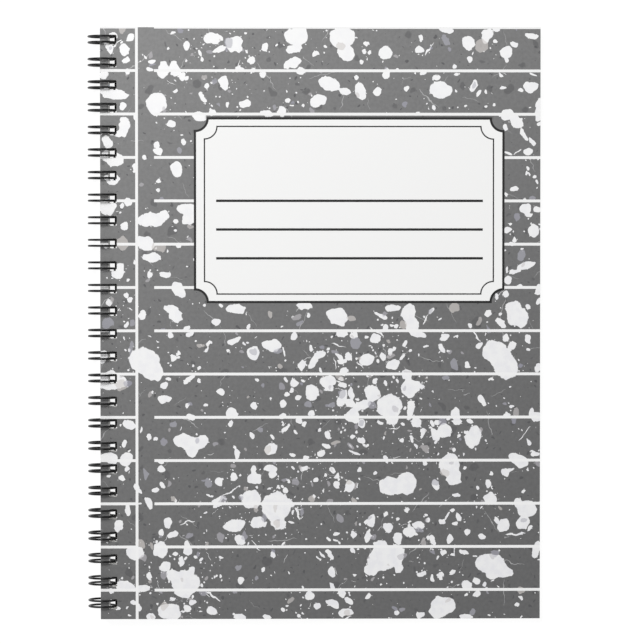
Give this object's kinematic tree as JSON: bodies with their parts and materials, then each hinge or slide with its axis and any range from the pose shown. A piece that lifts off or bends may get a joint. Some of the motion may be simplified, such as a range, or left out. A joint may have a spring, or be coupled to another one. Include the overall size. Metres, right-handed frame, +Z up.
{
  "type": "composition notebook",
  "caption": "Wire-bound composition notebook: two printed card covers and a block of ruled leaves on a row of double wire loops; each cover swings open about the wire.",
  "frame": {"origin": "middle of the notebook's underside, on the surface that it lies on", "axes": "+X from the wire binding to the fore edge, +Y from the tail to the head, +Z up through the front cover"},
  "size_m": [0.17, 0.2222, 0.011],
  "materials": {
    "cover_card": "gloss laminated card, marbled print in grey and white outside, plain white inside",
    "page_paper": "uncoated white writing paper, faintly ruled",
    "coated_wire": "black nylon-coated steel wire, semi-gloss"
  },
  "bodies": {
    "leaves": {"page_block": "page_paper", "wire_binding": "coated_wire"},
    "front_cover": {"front_cover": "cover_card"},
    "back_cover": {"back_cover": "cover_card"}
  },
  "joints": [
    {"name": "front_cover_hinge", "type": "hinge", "parent": "leaves", "child": "front_cover", "pos_m": [-0.07949, 0, 0.0055], "axis": [0, -1, 0], "range_deg": [0, 180]},
    {"name": "back_cover_hinge", "type": "hinge", "parent": "leaves", "child": "back_cover", "pos_m": [-0.07949, 0, 0.0055], "axis": [0, 1, 0], "range_deg": [0, 180]}
  ]
}
